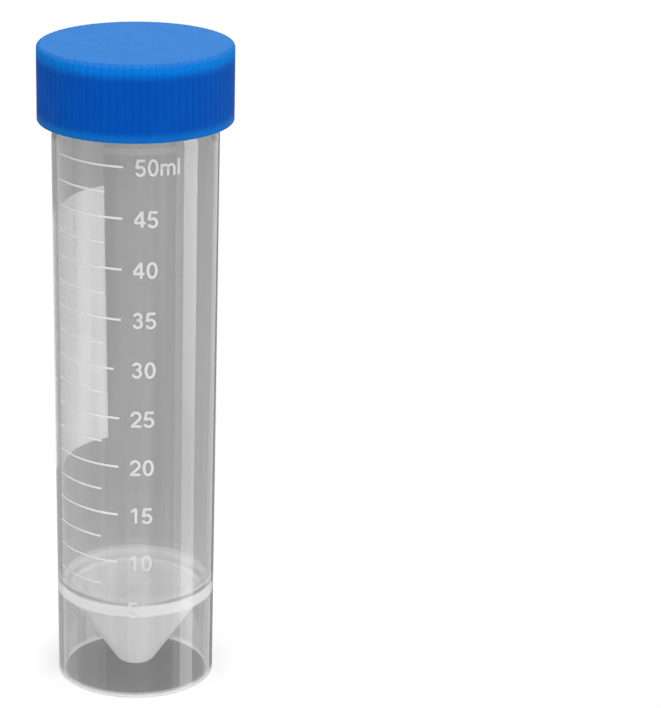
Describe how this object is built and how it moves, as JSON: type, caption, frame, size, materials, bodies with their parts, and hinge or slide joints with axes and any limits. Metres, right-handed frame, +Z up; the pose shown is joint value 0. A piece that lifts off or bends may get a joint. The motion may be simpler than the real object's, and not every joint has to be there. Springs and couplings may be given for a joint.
{
  "type": "50 ml conical tube",
  "caption": "Translucent graduated tube with a conical bottom inside a skirt that it stands on, closed by a ribbed blue screw cap over a sealing disc.",
  "frame": {"origin": "centre of the skirt's foot, on the tube's axis", "axes": "+Z up along the tube's axis towards the cap, -Y to the front, where the graduation numbers are"},
  "size_m": [0.0342, 0.0342, 0.117],
  "materials": {
    "tube_plastic": "translucent polypropylene, smooth moulded surface with a soft shine",
    "cap_plastic": "opaque blue polyethylene, satin, with fine upright ribs",
    "liner_foam": "soft white polyethylene foam, matt",
    "print_ink": "white screen-printed ink, thin and matt"
  },
  "bodies": {
    "tube_body": {"tube": "tube_plastic"},
    "liner_body": {"cap_liner": "liner_foam"},
    "cap_body": {"cap": "cap_plastic"}
  },
  "joints": [
    {"name": "cap_lift", "type": "slide", "parent": "tube_body", "child": "liner_body", "axis": [0, 0, 1], "range_m": [0, 0.0135]},
    {"name": "cap_turn", "type": "hinge", "parent": "liner_body", "child": "cap_body", "pos_m": [0, 0, 0.11], "axis": [0, 0, 1], "range_deg": [0, 810]}
  ],
  "couplings": [
    {"joint": "cap_lift", "follows": "cap_turn", "m_per_rad": 0.00095493}
  ]
}
